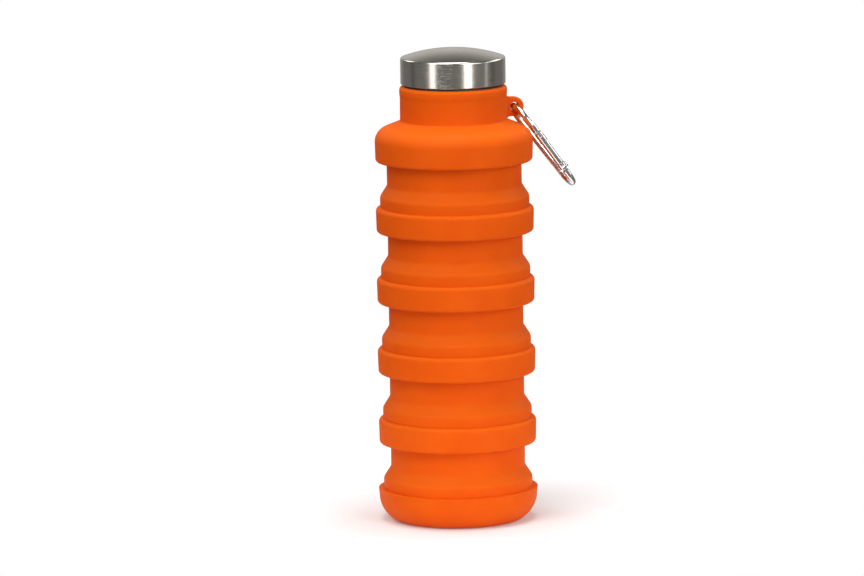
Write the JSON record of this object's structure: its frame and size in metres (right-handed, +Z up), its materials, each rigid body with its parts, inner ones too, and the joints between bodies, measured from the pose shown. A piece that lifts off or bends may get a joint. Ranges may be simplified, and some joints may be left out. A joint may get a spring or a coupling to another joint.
{
  "type": "folding water bottle",
  "caption": "Collapsible silicone drinking bottle with stepped rings that fold into each other, a domed brushed steel screw cap and a snap hook on a moulded lug.",
  "frame": {"origin": "centre of the flat underside of the base", "axes": "+Z up along the bottle axis to the cap, +X towards the lug and the snap hook"},
  "size_m": [0.0906, 0.07, 0.21],
  "materials": {
    "silicone": "satin moulded",
    "collar_plastic": "satin",
    "cap_steel": "brushed",
    "liner_plastic": "satin",
    "gasket": "matte",
    "hook_metal": "polished",
    "pin_steel": "polished"
  },
  "bodies": {
    "base": {"base_cup": "silicone", "fold_web_5": "silicone"},
    "ring_4": {"body_ring_4": "silicone", "fold_web_4": "silicone"},
    "ring_3": {"body_ring_3": "silicone", "fold_web_3": "silicone"},
    "ring_2": {"body_ring_2": "silicone", "fold_web_2": "silicone"},
    "ring_1": {"body_ring_1": "silicone", "fold_web_1": "silicone"},
    "neck": {"neck_shoulder": "silicone", "mouth_collar": "collar_plastic"},
    "cap_seal": {"cap_gasket": "gasket"},
    "cap": {"cap_shell": "cap_steel", "cap_liner": "liner_plastic"},
    "carabiner": {"carabiner_frame": "hook_metal", "gate_hinge_rivet": "pin_steel"},
    "gate": {"carabiner_gate": "hook_metal", "gate_latch_pin": "pin_steel", "gate_plunger": "pin_steel", "gate_spring": "pin_steel"}
  },
  "joints": [
    {"name": "fold_1", "type": "slide", "parent": "ring_1", "child": "neck", "axis": [0, 0, -1], "range_m": [0, 0.019], "deforming": ["fold_web_1"]},
    {"name": "fold_2", "type": "slide", "parent": "ring_2", "child": "ring_1", "axis": [0, 0, -1], "range_m": [0, 0.019], "deforming": ["fold_web_2"]},
    {"name": "fold_3", "type": "slide", "parent": "ring_3", "child": "ring_2", "axis": [0, 0, -1], "range_m": [0, 0.019], "deforming": ["fold_web_3"]},
    {"name": "fold_4", "type": "slide", "parent": "ring_4", "child": "ring_3", "axis": [0, 0, -1], "range_m": [0, 0.019], "deforming": ["fold_web_4"]},
    {"name": "fold_5", "type": "slide", "parent": "base", "child": "ring_4", "axis": [0, 0, -1], "range_m": [0, 0.019], "deforming": ["fold_web_5"]},
    {"name": "cap_rise", "type": "slide", "parent": "neck", "child": "cap_seal", "axis": [0, 0, 1], "range_m": [0, 0.024]},
    {"name": "cap_turn", "type": "hinge", "parent": "cap_seal", "child": "cap", "pos_m": [0, 0, 0.2], "axis": [0, 0, 1], "range_deg": [0, 1080]},
    {"name": "carabiner_swing", "type": "hinge", "parent": "neck", "child": "carabiner", "pos_m": [0.0277, 0, 0.1828], "axis": [0, -1, 0], "range_deg": [0, 140]},
    {"name": "gate_open", "type": "hinge", "parent": "carabiner", "child": "gate", "pos_m": [0.04822, -0.006, 0.15545], "axis": [-0.8, 0, -0.6], "range_deg": [0, 28], "stiffness_Nm_per_rad": 0.02, "springref_deg": -28.65}
  ],
  "couplings": [
    {"joint": "cap_rise", "follows": "cap_turn", "m_per_rad": 0.001273}
  ]
}
